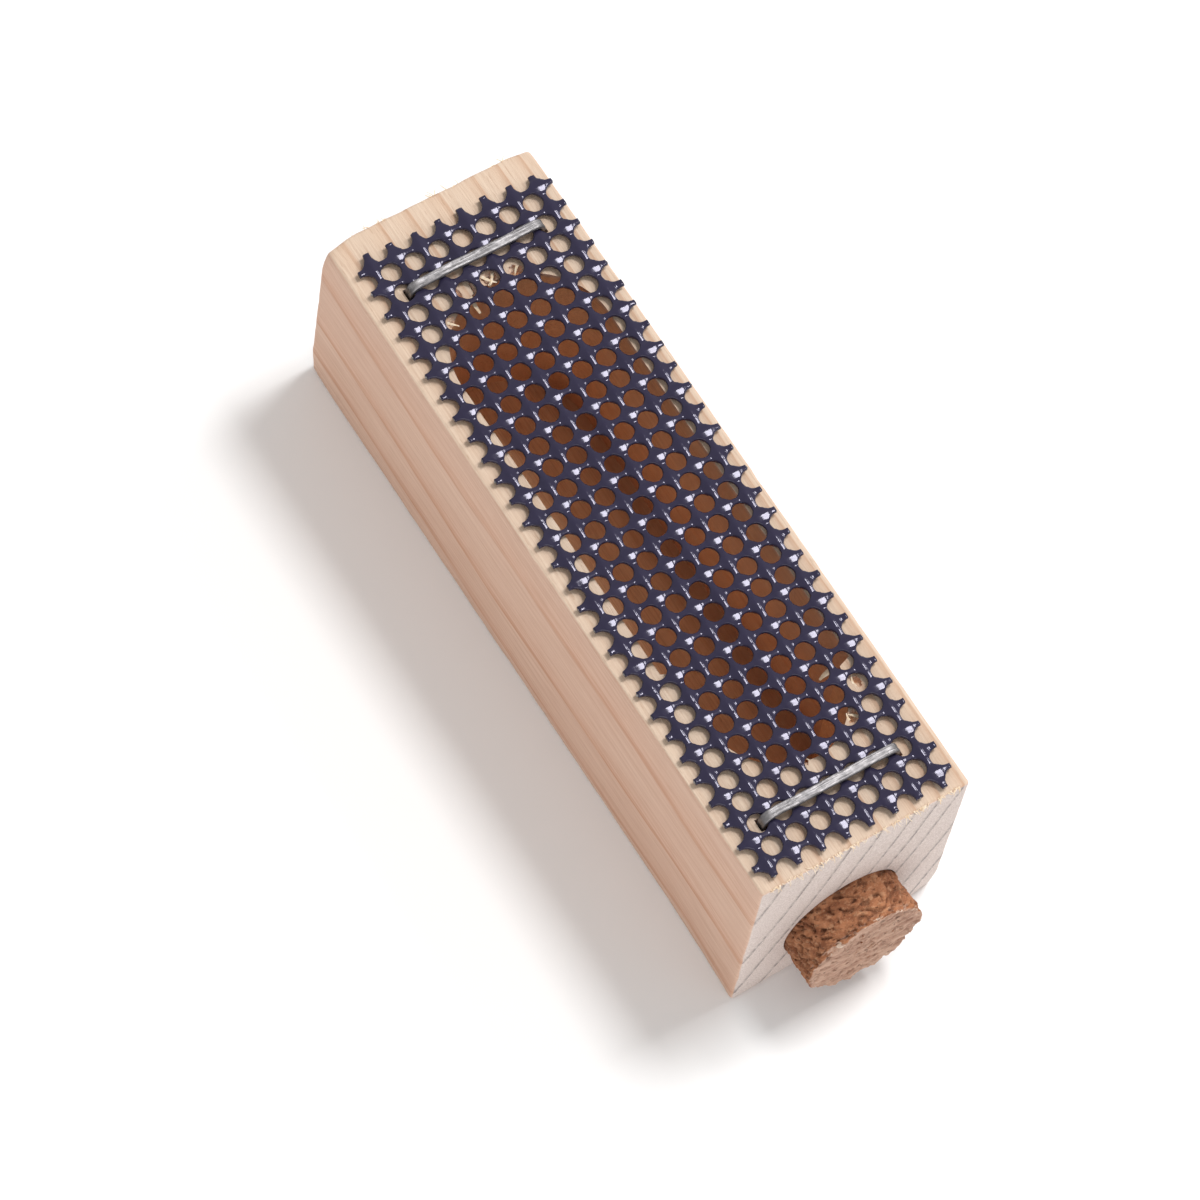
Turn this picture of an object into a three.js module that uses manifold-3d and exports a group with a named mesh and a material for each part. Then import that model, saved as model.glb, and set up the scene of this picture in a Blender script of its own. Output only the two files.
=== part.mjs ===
// Wooden queen cage: a one-piece block milled out to hold a queen bee and her attendants, roofed
// with plastic-coated wire cloth under two staples, and stopped at one end by a cork.
// Millimetres. The origin is the centre of the block's bottom face, +Z goes up through the screen,
// +Y runs along the block away from the cork, and +X goes across it.
import * as THREE from 'three';
import { ConvexGeometry } from 'three/addons/geometries/ConvexGeometry.js';
import { mergeVertices } from 'three/addons/utils/BufferGeometryUtils.js';
import Module from 'manifold-3d';

const wasm = await Module();
wasm.setup();

// Block
const BLOCK_WIDTH = 27.8;
const BLOCK_LENGTH = 93.2;
const BLOCK_HEIGHT = 28.4;
const EDGE_EASE = 0.5;

// Chamber: a straight slot with round ends, milled down from the top
const CHAMBER_WIDTH = 19.8;
const CORK_END_WALL = 11.2;
const FAR_END_WALL = 13.2;
const CHAMBER_SIDE_SHIFT = 0.65;
const FLOOR_THICKNESS = 2.2;

// Entrance, drilled through the end wall, and the tapered cork in it
const ENTRANCE_DIAMETER = 15.2;
const ENTRANCE_RIM_TO_BOTTOM = 1.9;
const ENTRANCE_SIDE_SHIFT = -0.7;
const CORK_MOUTH_CLEARANCE = 0.1;
const CORK_LENGTH = 12.3;
const CORK_PROUD = 5.6;
const CORK_TAPER = 0.9;
const CORK_CHAMFER = 0.4;

// Screen: plain-woven wire cloth, cut about half a mesh past its outer wires, with as many whole
// meshes as the block's top takes inside the margins
const PITCH_ACROSS = 3.175;
const PITCH_ALONG = 3.034;
const SIDE_MARGIN = 2;
const END_MARGIN = 3.5;
const HOLE_DIAMETER = 2.35;
const STRAND_THICKNESS = 1.2;
const STUB_LENGTH = 1.85;
const STUB_WIDTH = 0.8;
const SCREEN_TURN = -0.0105;
const SCREEN_SIDE_SHIFT = 0.15;
const SCREEN_END_SHIFT = -1.3;
const SCREEN_GAP = 0.05;

// Staples: flat galvanised wire, crown across the screen, legs down through the second row of
// holes from each end and into the wood
const STAPLE_ROW = 1;
const WIRE_WIDTH = 1.15;
const WIRE_THICKNESS = 0.55;
const BEND_RADIUS = 0.9;
const LEG_DEPTH = 8;
const LEG_POINT = 1.2;
const LEG_CLEARANCE = 0.12;
const LEG_TO_STRAND = 0.15;
const CROWN_GAP = 0.1;

// Where things end up, worked out from the sizes above
const nearFaceY = -BLOCK_LENGTH / 2;
const chamberNearY = nearFaceY + CORK_END_WALL;
const chamberFarY = BLOCK_LENGTH / 2 - FAR_END_WALL;
const entranceZ = ENTRANCE_RIM_TO_BOTTOM + ENTRANCE_DIAMETER / 2;
const holesAcross = Math.floor((BLOCK_WIDTH - 2 * SIDE_MARGIN) / PITCH_ACROSS);
const holesAlong = Math.floor((BLOCK_LENGTH - 2 * END_MARGIN) / PITCH_ALONG);
const screenBottomZ = BLOCK_HEIGHT + SCREEN_GAP;
const screenTopZ = screenBottomZ + STRAND_THICKNESS;

// A leg is pulled in close to the inner edge of the outermost hole that it passes through.
const legRoom = Math.sqrt((HOLE_DIAMETER / 2) ** 2 - (WIRE_WIDTH / 2) ** 2);
const legInnerX = (holesAcross - 1) / 2 * PITCH_ACROSS - legRoom + LEG_TO_STRAND;
const legOuterX = legInnerX + WIRE_THICKNESS;
const farStaple = screenPoint(0, ((holesAlong - 1) / 2 - STAPLE_ROW) * PITCH_ALONG);
const nearStaple = screenPoint(0, -((holesAlong - 1) / 2 - STAPLE_ROW) * PITCH_ALONG);

const ROUND_SIDES = 48;
const HOLE_SIDES = 8;
const CUT_OVERRUN = 1;

// A point given on the screen, which sits a little turned and off centre, in the cage's own axes.
function screenPoint(x, y) {
  return new THREE.Vector2(x, y)
    .rotateAround(new THREE.Vector2(), SCREEN_TURN)
    .add(new THREE.Vector2(SCREEN_SIDE_SHIFT, SCREEN_END_SHIFT));
}

function toSolid(geometry) {
  const plain = geometry.index ? geometry.toNonIndexed() : geometry.clone();
  plain.deleteAttribute('normal');
  plain.deleteAttribute('uv');
  const merged = mergeVertices(plain, 1e-4);
  return new wasm.Manifold(new wasm.Mesh({
    numProp: 3,
    vertProperties: merged.attributes.position.array,
    triVerts: new Uint32Array(merged.index.array),
  }));
}

function toGeometry(solid) {
  const mesh = solid.getMesh();
  const geometry = new THREE.BufferGeometry();
  geometry.setAttribute('position', new THREE.BufferAttribute(mesh.vertProperties, 3));
  geometry.setIndex(new THREE.BufferAttribute(mesh.triVerts, 1));
  return geometry;
}

function piece(name, geometry, finish) {
  const mesh = new THREE.Mesh(geometry, new THREE.MeshStandardMaterial(finish));
  mesh.name = name;
  return mesh;
}

function box(width, length, height, x, y, bottomZ) {
  return toSolid(new THREE.BoxGeometry(width, length, height).translate(x, y, bottomZ + height / 2));
}

// A rectangular block with every edge eased by a small flat.
function blockBody() {
  const half = new THREE.Vector3(BLOCK_WIDTH, BLOCK_LENGTH, BLOCK_HEIGHT).divideScalar(2);
  const corners = [];
  for (const x of [-1, 1]) {
    for (const y of [-1, 1]) {
      for (const z of [-1, 1]) {
        for (const full of ['x', 'y', 'z']) {
          const inset = half.clone().subScalar(EDGE_EASE);
          inset[full] = half[full];
          corners.push(inset.multiply(new THREE.Vector3(x, y, z)));
        }
      }
    }
  }
  return toSolid(new ConvexGeometry(corners).translate(0, 0, half.z));
}

// The chamber's plan is a slot with a half-round end to the cutter's radius.
function chamberCut() {
  const radius = CHAMBER_WIDTH / 2;
  const plan = new THREE.Shape();
  plan.absarc(CHAMBER_SIDE_SHIFT, chamberFarY - radius, radius, 0, Math.PI, false);
  plan.absarc(CHAMBER_SIDE_SHIFT, chamberNearY + radius, radius, Math.PI, 2 * Math.PI, false);
  plan.closePath();
  const geometry = new THREE.ExtrudeGeometry(plan, {
    depth: BLOCK_HEIGHT - FLOOR_THICKNESS + CUT_OVERRUN,
    bevelEnabled: false,
    curveSegments: ROUND_SIDES / 2,
  });
  geometry.translate(0, 0, FLOOR_THICKNESS);
  return toSolid(geometry);
}

// The entrance is bored past the chamber's round end, to where the chamber has its full width.
function entranceCut() {
  const radius = ENTRANCE_DIAMETER / 2;
  const boreLength = CORK_END_WALL + CHAMBER_WIDTH / 2 + CUT_OVERRUN;
  const geometry = new THREE.CylinderGeometry(radius, radius, boreLength, ROUND_SIDES);
  geometry.translate(ENTRANCE_SIDE_SHIFT, nearFaceY - CUT_OVERRUN + boreLength / 2, entranceZ);
  return toSolid(geometry);
}

// Each leg stands in a slot that is a named clearance larger all round.
function legCuts(staple) {
  const legX = (legInnerX + legOuterX) / 2;
  const width = WIRE_THICKNESS + 2 * LEG_CLEARANCE;
  const length = WIRE_WIDTH + 2 * LEG_CLEARANCE;
  const depth = LEG_DEPTH + LEG_CLEARANCE;
  const height = depth + CUT_OVERRUN;
  return [-1, 1].map((side) => (
    box(width, length, height, staple.x + side * legX, staple.y, BLOCK_HEIGHT - depth)
  ));
}

function buildBlock() {
  const cuts = [
    chamberCut(),
    entranceCut(),
    ...legCuts(nearStaple),
    ...legCuts(farStaple),
  ];
  const solid = cuts.reduce((body, cut) => body.subtract(cut), blockBody());
  return piece('block', toGeometry(solid), { color: 0xe3c6a4, roughness: 0.75, metalness: 0 });
}

// One closed outline with a wire's stub at each end of every wire, and a hole for each mesh.
function screenPlan() {
  const halfAcross = holesAcross / 2 * PITCH_ACROSS;
  const halfAlong = holesAlong / 2 * PITCH_ALONG;
  const corners = [
    ...screenEdge(holesAcross, PITCH_ACROSS, (s, out) => [s, -halfAlong - out]),
    ...screenEdge(holesAlong, PITCH_ALONG, (s, out) => [halfAcross + out, s]),
    ...screenEdge(holesAcross, PITCH_ACROSS, (s, out) => [-s, halfAlong + out]),
    ...screenEdge(holesAlong, PITCH_ALONG, (s, out) => [-halfAcross - out, -s]),
  ];
  const plan = new THREE.Shape(corners.map(([x, y]) => new THREE.Vector2(x, y)));
  for (let column = 0; column < holesAcross; column += 1) {
    for (let row = 0; row < holesAlong; row += 1) {
      const x = (column - (holesAcross - 1) / 2) * PITCH_ACROSS;
      const y = (row - (holesAlong - 1) / 2) * PITCH_ALONG;
      plan.holes.push(meshHole(x, y));
    }
  }
  return plan;
}

// The stubs along one edge; place(s, out) takes a distance along the outermost wire's centre line
// and one out from it, and gives x and y.
function screenEdge(holes, pitch, place) {
  const half = STUB_WIDTH / 2;
  const corners = [];
  for (let wire = 0; wire <= holes; wire += 1) {
    const s = (wire - holes / 2) * pitch;
    if (wire > 0) {
      corners.push(place(s - half, half));
    }
    corners.push(place(s - half, STUB_LENGTH), place(s + half, STUB_LENGTH), place(s + half, half));
  }
  return corners;
}

// The holes are as wide as the round one, flat to flat.
function meshHole(x, y) {
  const radius = HOLE_DIAMETER / 2 / Math.cos(Math.PI / HOLE_SIDES);
  const corners = [];
  for (let side = 0; side < HOLE_SIDES; side += 1) {
    const angle = (side + 0.5) / HOLE_SIDES * 2 * Math.PI;
    corners.push(new THREE.Vector2(x + radius * Math.cos(angle), y + radius * Math.sin(angle)));
  }
  return new THREE.Path(corners);
}

function buildScreen() {
  const geometry = new THREE.ExtrudeGeometry(screenPlan(), {
    depth: STRAND_THICKNESS,
    bevelEnabled: false,
  });
  geometry.rotateZ(SCREEN_TURN);
  geometry.translate(SCREEN_SIDE_SHIFT, SCREEN_END_SHIFT, screenBottomZ);
  return piece('screen', geometry, { color: 0x23233a, roughness: 0.25, metalness: 0 });
}

// Seen along Y: up one leg, round a bend, across the crown, and down the other leg.
function stapleOutline() {
  const innerZ = screenTopZ + CROWN_GAP;
  const outerZ = innerZ + WIRE_THICKNESS;
  const tipZ = BLOCK_HEIGHT - LEG_DEPTH;
  const bendX = legOuterX - BEND_RADIUS;
  const bendZ = outerZ - BEND_RADIUS;
  const innerBend = BEND_RADIUS - WIRE_THICKNESS;
  const outline = new THREE.Shape();
  outline.moveTo(legOuterX, tipZ);
  outline.absarc(bendX, bendZ, BEND_RADIUS, 0, Math.PI / 2, false);
  outline.absarc(-bendX, bendZ, BEND_RADIUS, Math.PI / 2, Math.PI, false);
  outline.lineTo(-legOuterX, tipZ);
  outline.lineTo(-legInnerX, tipZ + LEG_POINT);
  outline.absarc(-bendX, bendZ, innerBend, Math.PI, Math.PI / 2, true);
  outline.absarc(bendX, bendZ, innerBend, Math.PI / 2, 0, true);
  outline.lineTo(legInnerX, tipZ + LEG_POINT);
  outline.closePath();
  return outline;
}

function buildStaple(name, staple) {
  const geometry = new THREE.ExtrudeGeometry(stapleOutline(), {
    depth: WIRE_WIDTH,
    bevelEnabled: false,
    curveSegments: 6,
  });
  geometry.rotateX(Math.PI / 2);
  geometry.translate(staple.x, staple.y + WIRE_WIDTH / 2, 0);
  return piece(name, geometry, { color: 0xb9bcc2, roughness: 0.35, metalness: 1 });
}

// The cork is turned about its own axis along Y, its large end out.
function buildCork() {
  const insideLength = CORK_LENGTH - CORK_PROUD;
  const mouthRadius = ENTRANCE_DIAMETER / 2 - CORK_MOUTH_CLEARANCE;
  const taperPerLength = CORK_TAPER / 2 / CORK_LENGTH;
  const outerRadius = mouthRadius + CORK_PROUD * taperPerLength;
  const innerRadius = mouthRadius - insideLength * taperPerLength;
  const profile = [
    [0, 0],
    [outerRadius - CORK_CHAMFER, 0],
    [outerRadius, CORK_CHAMFER],
    [innerRadius, CORK_LENGTH - CORK_CHAMFER],
    [innerRadius - CORK_CHAMFER, CORK_LENGTH],
    [0, CORK_LENGTH],
  ];
  const points = profile.map(([radius, height]) => new THREE.Vector2(radius, height));
  const mesh = piece('cork_plug', new THREE.LatheGeometry(points, ROUND_SIDES), {
    color: 0xa9683f,
    roughness: 0.9,
    metalness: 0,
  });
  mesh.position.set(ENTRANCE_SIDE_SHIFT, nearFaceY - CORK_PROUD, entranceZ);
  return mesh;
}

const cage = new THREE.Group();
cage.add(
  buildBlock(),
  buildScreen(),
  buildStaple('staple_near', nearStaple),
  buildStaple('staple_far', farStaple),
  buildCork(),
);

export default cage;
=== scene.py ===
import math
import random

import bmesh
import bpy
from mathutils import Matrix, Quaternion, Vector, noise


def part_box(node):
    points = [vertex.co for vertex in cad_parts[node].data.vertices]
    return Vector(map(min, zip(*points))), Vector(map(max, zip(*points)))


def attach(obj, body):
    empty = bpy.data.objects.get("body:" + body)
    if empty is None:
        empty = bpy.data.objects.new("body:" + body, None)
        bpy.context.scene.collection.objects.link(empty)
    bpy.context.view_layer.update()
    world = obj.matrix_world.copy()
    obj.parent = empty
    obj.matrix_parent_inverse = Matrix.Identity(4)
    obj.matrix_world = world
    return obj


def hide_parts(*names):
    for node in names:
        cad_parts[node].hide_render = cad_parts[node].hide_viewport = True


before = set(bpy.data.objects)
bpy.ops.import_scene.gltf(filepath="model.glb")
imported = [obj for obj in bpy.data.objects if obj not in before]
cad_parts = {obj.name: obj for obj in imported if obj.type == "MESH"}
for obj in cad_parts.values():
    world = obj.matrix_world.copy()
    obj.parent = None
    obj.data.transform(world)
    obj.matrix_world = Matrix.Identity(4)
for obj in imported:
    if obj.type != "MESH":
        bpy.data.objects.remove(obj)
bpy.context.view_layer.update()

MM = 0.001


# --- Studio -------------------------------------------------------------------------------------
# The cage lies on a plain pale floor in a pale surround. Two soft lights high on its right give the
# gloss on the screen, a wide one fills the cork's end, and the camera looks down from that end.
FLOOR_SPAN = 8.0
AIM = Vector((-5.17, -1.92, 14.2)) * MM
CAMERA_AZIMUTH = math.radians(-43.45)
CAMERA_ELEVATION = math.radians(63.33)
CAMERA_ROLL = math.radians(12.49)
CAMERA_DISTANCE = 702 * MM
CAMERA_LENS = 183.9
SURROUND_STRENGTH = 0.54

camera = bpy.data.objects.new("camera", bpy.data.cameras.new("camera"))
bpy.context.scene.collection.objects.link(camera)
back = Vector((
    math.sin(CAMERA_AZIMUTH) * math.cos(CAMERA_ELEVATION),
    -math.cos(CAMERA_AZIMUTH) * math.cos(CAMERA_ELEVATION),
    math.sin(CAMERA_ELEVATION),
))
camera.location = AIM + back * CAMERA_DISTANCE
camera.rotation_mode = "QUATERNION"
camera.rotation_quaternion = (-back).to_track_quat("-Z", "Y") @ Quaternion((0, 0, 1), CAMERA_ROLL)
camera.data.lens = CAMERA_LENS
camera.data.clip_start = 10 * MM
bpy.context.scene.camera = camera


def add_softbox(name, place, length, width, watts):
    """A long area light at place, turned to the cage."""
    light = bpy.data.lights.new(name, "AREA")
    light.shape = "RECTANGLE"
    light.size = length
    light.size_y = width
    light.energy = watts
    softbox = bpy.data.objects.new(name, light)
    softbox.location = place
    softbox.rotation_euler = (AIM - Vector(place)).to_track_quat("-Z", "Y").to_euler()
    bpy.context.scene.collection.objects.link(softbox)


add_softbox("high_light", (0.36, 0.06, 0.78), 0.26, 0.18, 4.2)
add_softbox("side_light", (0.6, 0.06, 0.6), 0.24, 0.09, 1.6)
add_softbox("front_light", (-0.5, -1.05, 0.32), 0.9, 0.9, 4.5)

world = bpy.data.worlds.new("surround")
world.use_nodes = True
background = world.node_tree.nodes["Background"]
background.inputs["Color"].default_value = (1, 0.99, 0.98, 1)
background.inputs["Strength"].default_value = SURROUND_STRENGTH
bpy.context.scene.world = world
bpy.context.scene.view_settings.view_transform = "Standard"


def new_object(name, mesh):
    """A mesh as an object in the scene, at the origin."""
    made = bpy.data.objects.new(name, mesh)
    bpy.context.scene.collection.objects.link(made)
    return made


def to_mesh(name, bm):
    """A finished bmesh as mesh data, with its faces turned outwards."""
    bmesh.ops.recalc_face_normals(bm, faces=bm.faces[:])
    mesh = bpy.data.meshes.new(name)
    bm.to_mesh(mesh)
    bm.free()
    return mesh


floor_bm = bmesh.new()
bmesh.ops.create_grid(floor_bm, x_segments=1, y_segments=1, size=FLOOR_SPAN / 2)
floor = new_object("floor", to_mesh("floor", floor_bm))


class Signal:
    """A value or colour in a material that Python's own signs work on, one Math node for each."""

    def __init__(self, tree, socket):
        self.tree = tree
        self.socket = socket

    def node(self, kind, settings, inputs, output=0):
        """Adds one node: its settings first, then what its sockets take, by name or number."""
        made = self.tree.nodes.new(kind)
        for key, value in settings.items():
            if key == "stops":
                ramp = made.color_ramp.elements
                while len(ramp) < len(value):
                    ramp.new(1)
                for stop, (position, level) in zip(ramp, value):
                    stop.position = position
                    stop.color = (level, level, level, 1)
            else:
                setattr(made, key, value)
        for key, value in inputs.items():
            if isinstance(value, Signal):
                self.tree.links.new(value.socket, made.inputs[key])
            else:
                made.inputs[key].default_value = value
        return Signal(self.tree, made.outputs[output])

    def math_node(self, operation, *values):
        """One Math node on signals and numbers."""
        return self.node("ShaderNodeMath", {"operation": operation}, dict(enumerate(values)))

    def __add__(self, other): return self.math_node("ADD", self, other)
    def __radd__(self, other): return self.math_node("ADD", other, self)
    def __sub__(self, other): return self.math_node("SUBTRACT", self, other)
    def __rsub__(self, other): return self.math_node("SUBTRACT", other, self)
    def __mul__(self, other): return self.math_node("MULTIPLY", self, other)
    def __rmul__(self, other): return self.math_node("MULTIPLY", other, self)
    def __truediv__(self, other): return self.math_node("DIVIDE", self, other)
    def __pow__(self, other): return self.math_node("POWER", self, other)
    def __abs__(self): return self.math_node("ABSOLUTE", self)

    def rise(self, low, high):
        """0 below low and 1 above high, with a smooth rise between; it falls where high < low."""
        start, stop = (0.0, 1.0) if low < high else (1.0, 0.0)
        return self.node(
            "ShaderNodeMapRange",
            {"interpolation_type": "SMOOTHSTEP"},
            {0: self, 1: min(low, high), 2: max(low, high), 3: start, 4: stop},
        )

    def mix(self, low, high):
        """low where this signal is 0 and high where it is 1, both colours."""
        return self.node("ShaderNodeMix", {"data_type": "RGBA"}, {0: self, 6: low, 7: high}, output=2)

    def stretched(self, scale):
        """These coordinates scaled along each axis, for a pattern that is long one way."""
        return self.node("ShaderNodeMapping", {}, {"Vector": self, "Scale": scale})

    def grain(self, scale, detail=2.0, rough=0.5):
        """Noise from 0 to 1 at these coordinates."""
        return self.node(
            "ShaderNodeTexNoise",
            {},
            {"Vector": self, "Scale": scale, "Detail": detail, "Roughness": rough},
        )

    def axes(self):
        """The x, y and z of these coordinates."""
        split = self.node("ShaderNodeSeparateXYZ", {}, {0: self})
        return [Signal(self.tree, output) for output in split.socket.node.outputs]


def new_material(name, **constants):
    """A material with its shader, and its object coordinates in millimetres."""
    material = bpy.data.materials.new(name)
    material.use_nodes = True
    tree = material.node_tree
    shader = tree.nodes["Principled BSDF"]
    for key, value in constants.items():
        shader.inputs[key.replace("_", " ")].default_value = value
    metres = Signal(tree, None).node("ShaderNodeTexCoord", {}, {}, output="Object")
    return material, shader, metres.stretched((1 / MM, 1 / MM, 1 / MM))


def feed(shader, socket, signal):
    """Joins a signal to one of the shader's sockets."""
    shader.id_data.links.new(signal.socket, shader.inputs[socket])


def feed_bump(shader, height, distance):
    """Fine relief: a height of 1 stands the given distance, in millimetres, off the surface."""
    bump = height.node(
        "ShaderNodeBump", {}, {"Strength": 1.0, "Distance": distance * MM, "Height": height}
    )
    feed(shader, "Normal", bump)


floor_material, floor_shader, floor_place = new_material("pale_floor", Roughness=0.9)
floor_tone = floor_place.grain(0.02).mix((0.94, 0.94, 0.94, 1), (0.96, 0.96, 0.96, 1))
feed(floor_shader, "Base Color", floor_tone)
floor.data.materials.append(floor_material)


# --- Block --------------------------------------------------------------------------------------
# One piece of pine, sawn and lightly planed, its edges just eased and worn at some corners. The
# chamber is milled down from the top with a round-ended slot cutter, the entrance is drilled
# through the cork's end, and a slot takes each staple leg.
block_low, block_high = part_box("block")
BLOCK_STEP = 1.5 * MM
EDGE_EASE = 0.45 * MM
EDGE_NICK = 0.14 * MM
NICK_LENGTH = 2.2 * MM
SMALL_NICK_LENGTH = 0.8 * MM
# Each worn corner: which corner of the block it is, how much is gone, and how far the wear reaches.
WORN_CORNERS = [
    ((-1, 1, 1), 0.7 * MM, 4 * MM),
    ((-1, 1, -1), 0.5 * MM, 4 * MM),
    ((1, 1, 1), 0.4 * MM, 3 * MM),
    ((1, -1, -1), 0.5 * MM, 4 * MM),
]
# The lower left corner at the cork's end leans out of square.
CORNER_LEAN = Vector((-0.45, -0.45, 0)) * MM
CORNER_LEAN_REACH = 14 * MM
CHAMBER_WIDTH = 19.8 * MM
CORK_END_WALL = 11.2 * MM
FAR_END_WALL = 13.2 * MM
CHAMBER_SIDE_SHIFT = 0.65 * MM
FLOOR_THICKNESS = 2.2 * MM
CHAMBER_TURN = 0.004
# Where the cutter ran narrower towards the cork: side, start along the block, and how much narrower.
NEAR_SHOULDERS = [(-1, -18.2 * MM, 0.95 * MM), (1, -26.9 * MM, 1.5 * MM)]
SHOULDER_RUN = 0.5 * MM
CUTTER_SIDES = 80
CUTTER_STEP = 1.6 * MM
CUTTER_MARKS = 0.06 * MM
CUTTER_MARK_LENGTH = 2.5 * MM
ENTRANCE_RADIUS = 7.6 * MM
DRILL_STEP = 1.2 * MM
DRILL_MARKS = 0.09 * MM
DRILL_MARK_LENGTH = 2 * MM
CUTTER_OVERRUN = 3 * MM
DRILL_OVERRUN = 2 * MM
WIRE_THICKNESS = 0.55 * MM
LEG_SLOT_ROOM = 0.22 * MM
LEG_DEPTH = 8 * MM


def slice_along(bm, axis, start, stop, step):
    """Cuts the whole mesh across one axis at even steps between start and stop."""
    count = max(1, round((stop - start) / step))
    for index in range(1, count):
        point = Vector((0, 0, 0))
        point[axis] = start + (stop - start) * index / count
        direction = Vector((0, 0, 0))
        direction[axis] = 1
        bmesh.ops.bisect_plane(
            bm, geom=bm.verts[:] + bm.edges[:] + bm.faces[:], plane_co=point, plane_no=direction
        )


def box_between(low, high):
    """A closed box from one corner to the other."""
    bm = bmesh.new()
    bmesh.ops.create_cube(bm, size=1)
    bmesh.ops.scale(bm, vec=high - low, verts=bm.verts[:])
    bmesh.ops.translate(bm, vec=(low + high) / 2, verts=bm.verts[:])
    return bm


def crease_edges(bm, least):
    """The edges that turn by more than the given angle."""
    return [e for e in bm.edges if len(e.link_faces) == 2 and e.calc_face_angle() > least]


def wander(bm, amount, size, seed):
    """Moves each vertex a little along its normal, smoothly from place to place."""
    offset = Vector((seed, 2 * seed, 3 * seed))
    bm.normal_update()
    moves = [v.normal * noise.noise(v.co / size + offset) * amount for v in bm.verts]
    for vertex, move in zip(bm.verts, moves):
        vertex.co += move


def block_body():
    """The sawn block before anything is cut into it, with eased, nicked and worn edges."""
    bm = box_between(block_low, block_high)
    for axis in range(3):
        slice_along(bm, axis, block_low[axis], block_high[axis], BLOCK_STEP)
    bmesh.ops.bevel(
        bm, geom=crease_edges(bm, math.radians(60)), offset=EDGE_EASE, offset_type="OFFSET",
        affect="EDGES", segments=3, profile=0.5, material=-1,
    )
    middle = (block_low + block_high) / 2
    half = (block_high - block_low) / 2
    for vertex in bm.verts:
        away = vertex.co - middle
        near_faces = sum(half[i] - abs(away[i]) < 1.2 * EDGE_EASE for i in range(3))
        if near_faces >= 2:
            nick = noise.noise(vertex.co / NICK_LENGTH) + 0.6 * noise.noise(vertex.co / SMALL_NICK_LENGTH)
            vertex.co -= away.normalized() * abs(nick) * EDGE_NICK
        near = max(0, 1 - (vertex.co.y - block_low.y) / CORNER_LEAN_REACH)
        low_left = (0.5 - away.z / half.z / 2) * (0.5 - away.x / half.x / 2)
        vertex.co += CORNER_LEAN * near ** 1.5 * low_left
        for signs, depth, reach in WORN_CORNERS:
            corner = middle + half * Vector(signs)
            gap = (vertex.co - corner).length
            if gap < reach:
                vertex.co += (middle - corner).normalized() * depth * (1 - gap / reach) ** 1.3
    return to_mesh("block", bm)


def slot_cutter():
    """The chamber's space: a round split in two and drawn apart, then run up past the top."""
    radius = CHAMBER_WIDTH / 2
    near_y = block_low.y + CORK_END_WALL + radius
    far_y = block_high.y - FAR_END_WALL - radius
    bm = bmesh.new()
    bmesh.ops.create_circle(
        bm, cap_ends=True, segments=CUTTER_SIDES, radius=radius,
        matrix=Matrix.Rotation(math.pi / CUTTER_SIDES, 4, "Z"),
    )
    for vertex in bm.verts:
        vertex.co.y += far_y if vertex.co.y > 0 else near_y
        vertex.co.x += CHAMBER_SIDE_SHIFT
        vertex.co.z = block_low.z + FLOOR_THICKNESS
    top_z = block_high.z + CUTTER_OVERRUN
    grown = bmesh.ops.extrude_face_region(bm, geom=bm.faces[:])["geom"]
    up = [g for g in grown if isinstance(g, bmesh.types.BMVert)]
    bmesh.ops.translate(bm, vec=(0, 0, top_z - block_low.z - FLOOR_THICKNESS), verts=up)
    slice_along(bm, 2, block_low.z + FLOOR_THICKNESS, top_z, CUTTER_STEP)
    slice_along(bm, 1, near_y, far_y, CUTTER_STEP)
    for side, start, narrowing in NEAR_SHOULDERS:
        for place in (start, start - SHOULDER_RUN):
            slice_along(bm, 1, place - SHOULDER_RUN, place + SHOULDER_RUN, SHOULDER_RUN)
        for vertex in bm.verts:
            share = side * (vertex.co.x - CHAMBER_SIDE_SHIFT) / radius
            run = min(1, max(0, (start - vertex.co.y) / SHOULDER_RUN))
            vertex.co.x -= side * max(0, share) * run * narrowing
    wander(bm, CUTTER_MARKS, CUTTER_MARK_LENGTH, seed=3)
    bmesh.ops.rotate(bm, matrix=Matrix.Rotation(CHAMBER_TURN, 3, "Z"), verts=bm.verts[:])
    return to_mesh("slot_cutter", bm)


cork_low, cork_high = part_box("cork_plug")
entrance = Vector((
    (cork_low.x + cork_high.x) / 2, block_low.y, (cork_low.z + cork_high.z) / 2,
))


def entrance_cutter():
    """The drill's space, from in front of the block into the chamber."""
    depth = CORK_END_WALL + CHAMBER_WIDTH / 2
    bm = bmesh.new()
    bmesh.ops.create_cone(
        bm, cap_ends=True, segments=CUTTER_SIDES, radius1=ENTRANCE_RADIUS,
        radius2=ENTRANCE_RADIUS, depth=depth + 2 * DRILL_OVERRUN,
        matrix=Matrix.Translation(entrance + Vector((0, depth / 2 - DRILL_OVERRUN, 0)))
        @ Matrix.Rotation(math.pi / 2, 4, "X"),
    )
    slice_along(bm, 1, entrance.y, entrance.y + depth, DRILL_STEP)
    wander(bm, DRILL_MARKS, DRILL_MARK_LENGTH, seed=8)
    return to_mesh("entrance_cutter", bm)


# Where the slot cutter tore grain out of the rim: middle, half sizes and turn of each hollow.
RIM_CHIPS = [
    ((0.7, 33.9), (1.05, 0.85, 0.8), 0.4),
    ((3.9, 33.3), (0.95, 0.8, 1.1), -0.3),
    ((-3.4, 33.6), (0.28, 1.3, 0.5), 0.05),
    ((-1.65, 33.7), (0.22, 1.2, 0.45), -0.05),
    ((-5.9, 30.9), (0.9, 0.7, 0.7), 0.8),
    ((-0.5, -35.0), (0.3, 0.85, 0.6), -0.5),
    ((2.6, -34.9), (0.45, 0.4, 0.5), 0.2),
    ((9.6, -29.8), (0.55, 0.85, 0.7), 0.3),
    ((6.9, -33.3), (0.9, 0.6, 0.9), 0.6),
]


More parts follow.
